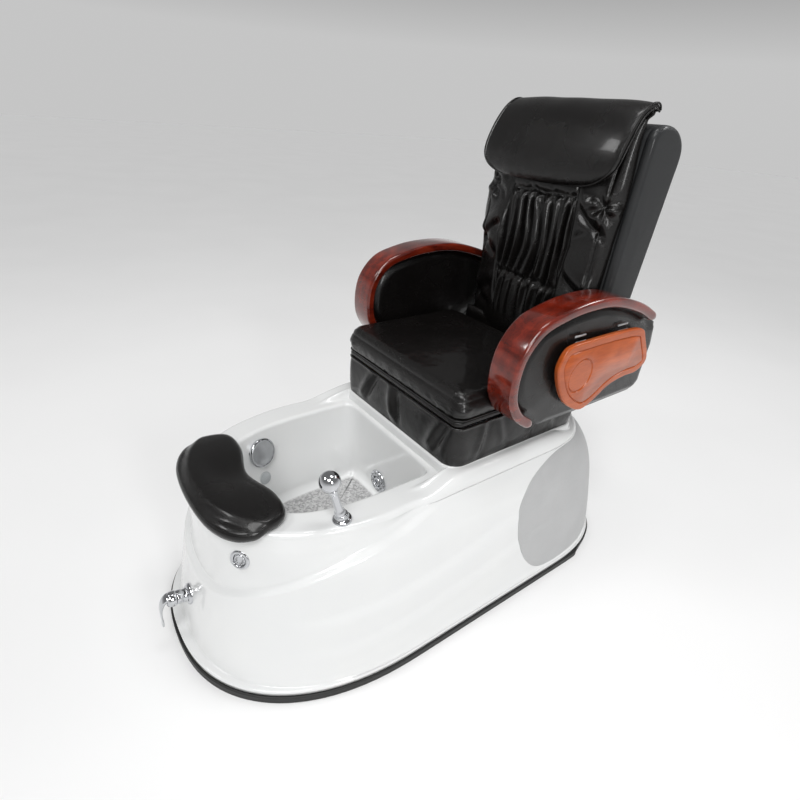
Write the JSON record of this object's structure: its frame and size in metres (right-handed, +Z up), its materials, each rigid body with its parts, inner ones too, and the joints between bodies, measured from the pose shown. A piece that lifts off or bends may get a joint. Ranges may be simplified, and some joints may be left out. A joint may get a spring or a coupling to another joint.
{
  "type": "pedicure spa chair",
  "caption": "Boat-shaped foot-spa base with a basin, hand shower and footrest, carrying a sliding, reclining massage armchair with wooden arms and flip-up side trays.",
  "frame": {"origin": "on the floor under the middle of the whole chair's plan box", "axes": "+X to the sitter's left, -Y to the front (basin end), +Z up"},
  "size_m": [0.782, 1.478, 1.3395],
  "materials": {
    "gelcoat_white": "glossy white gelcoat",
    "panel_grey": "satin grey",
    "rubber_black": "matte",
    "leather_black": "smooth synthetic leather, glossy",
    "shell_black": "matte fine-grained covering",
    "wood_mahogany": "glossy red-brown lacquer",
    "wood_tray": "glossy orange-brown lacquer",
    "plywood": "raw plywood",
    "chrome": "polished",
    "steel_painted": "black powder coat",
    "steel_bare": "zinc plated",
    "plastic_black": "matte",
    "plastic_white": "PVC pipe",
    "plastic_clear": "frosted lens",
    "rubber_roller": "firm rubber"
  },
  "bodies": {
    "base": {"hull_shell": "gelcoat_white", "basin_deck": "gelcoat_white", "side_panel_left": "panel_grey", "side_panel_right": "panel_grey", "base_trim": "rubber_black", "base_rails": "steel_painted", "cross_members": "steel_painted", "seat_posts": "steel_painted", "levelling_feet": "rubber_black", "jet_pump": "plastic_black", "pump_pipe": "plastic_white", "drain_strainer": "chrome", "drain_pipe": "plastic_white", "supply_pipes": "steel_bare", "control_box": "plastic_black", "power_inlet": "plastic_black", "overflow_cover": "chrome", "basin_light": "plastic_clear", "jet_body": "chrome", "shower_socket": "chrome", "mixer_body": "chrome", "button_bezel": "chrome", "footrest_bracket": "steel_bare", "plinth_boards": "plywood", "apron_cover": "leather_black", "slide_rails": "steel_bare"},
    "seat": {"slide_runners": "steel_bare", "seat_board": "leather_black", "seat_cushion": "leather_black", "back_brackets": "steel_painted", "pivot_pins": "steel_bare", "recline_actuator": "plastic_black", "arm_band_left": "wood_mahogany", "arm_band_right": "wood_mahogany", "arm_panel_left": "leather_black", "arm_panel_right": "leather_black", "arm_brackets": "steel_painted", "tray_hinge_plates": "steel_bare"},
    "backrest": {"back_shell": "shell_black", "back_cover": "leather_black", "pillow_flap": "leather_black", "guide_rods": "steel_bare", "guide_ends": "steel_painted", "back_hinge_frame": "steel_painted", "recline_lever": "steel_painted"},
    "actuator_rod": {"actuator_rod": "steel_bare"},
    "tray_left": {"tray_left": "wood_tray", "tray_leaf_left": "steel_bare"},
    "tray_right": {"tray_right": "wood_tray", "tray_leaf_right": "steel_bare"},
    "lead_screw": {"lead_screw": "steel_bare"},
    "massage_carriage": {"massage_carriage": "plastic_black"},
    "massage_rollers": {"massage_rollers": "rubber_roller"},
    "footrest": {"footrest_plate": "steel_painted", "footrest_pad": "leather_black"},
    "mixer_lever": {"mixer_lever": "chrome"},
    "air_button": {"air_button": "chrome"},
    "hand_shower": {"hand_shower": "chrome"},
    "jet_nozzle": {"jet_nozzle": "chrome"},
    "drain_plug": {"drain_plug": "chrome"}
  },
  "joints": [
    {"name": "seat_slide", "type": "slide", "parent": "base", "child": "seat", "axis": [0, -1, 0], "range_m": [0, 0.08]},
    {"name": "backrest_recline", "type": "hinge", "parent": "seat", "child": "backrest", "pos_m": [0, 0.415, 0.62], "axis": [-1, 0, 0], "range_deg": [0, 30]},
    {"name": "actuator_stroke", "type": "slide", "parent": "seat", "child": "actuator_rod", "axis": [0, -1, 0], "range_m": [0, 0.0323]},
    {"name": "tray_left_flip", "type": "hinge", "parent": "seat", "child": "tray_left", "pos_m": [0.344, 0.33, 0.822], "axis": [0, -1, 0], "range_deg": [0, 90]},
    {"name": "tray_right_flip", "type": "hinge", "parent": "seat", "child": "tray_right", "pos_m": [-0.344, 0.33, 0.822], "axis": [0, 1, 0], "range_deg": [0, 90]},
    {"name": "massage_travel", "type": "slide", "parent": "backrest", "child": "massage_carriage", "axis": [0, 0.04, 0.9992], "range_m": [0, 0.34]},
    {"name": "lead_screw_turn", "type": "hinge", "parent": "backrest", "child": "lead_screw", "pos_m": [0, 0.552, 0.7], "axis": [0, 0.04, 0.9992], "range_deg": [0, 6130]},
    {"name": "roller_spin", "type": "hinge", "parent": "massage_carriage", "child": "massage_rollers", "pos_m": [0, 0.50664, 0.76687], "axis": [1, 0, 0], "continuous": true},
    {"name": "footrest_tilt", "type": "hinge", "parent": "base", "child": "footrest", "pos_m": [0, -0.598, 0.458], "axis": [1, 0, 0], "range_deg": [0, 35]},
    {"name": "mixer_lever_turn", "type": "hinge", "parent": "base", "child": "mixer_lever", "pos_m": [0, -0.70632, 0.15281], "axis": [0, -0.9848, 0.1736], "range_deg": [-45, 45]},
    {"name": "air_button_press", "type": "slide", "parent": "base", "child": "air_button", "axis": [-0.6278, 0.7482, -0.2149], "range_m": [0, 0.004], "stiffness_N_per_m": 1500, "springref_m": -0.0005},
    {"name": "hand_shower_lift", "type": "slide", "parent": "base", "child": "hand_shower", "axis": [0, -0.2588, 0.9659], "range_m": [0, 0.12]},
    {"name": "jet_nozzle_turn", "type": "hinge", "parent": "base", "child": "jet_nozzle", "pos_m": [-0.025, -0.07, 0.252], "axis": [0, -1, 0], "range_deg": [-90, 90]},
    {"name": "drain_plug_lift", "type": "slide", "parent": "base", "child": "drain_plug", "axis": [0, 0, 1], "range_m": [0, 0.012]}
  ],
  "couplings": [
    {"joint": "actuator_stroke", "follows": "backrest_recline", "m_per_rad": 0.06141},
    {"joint": "lead_screw_turn", "follows": "massage_travel", "rad_per_m": 314.16}
  ]
}
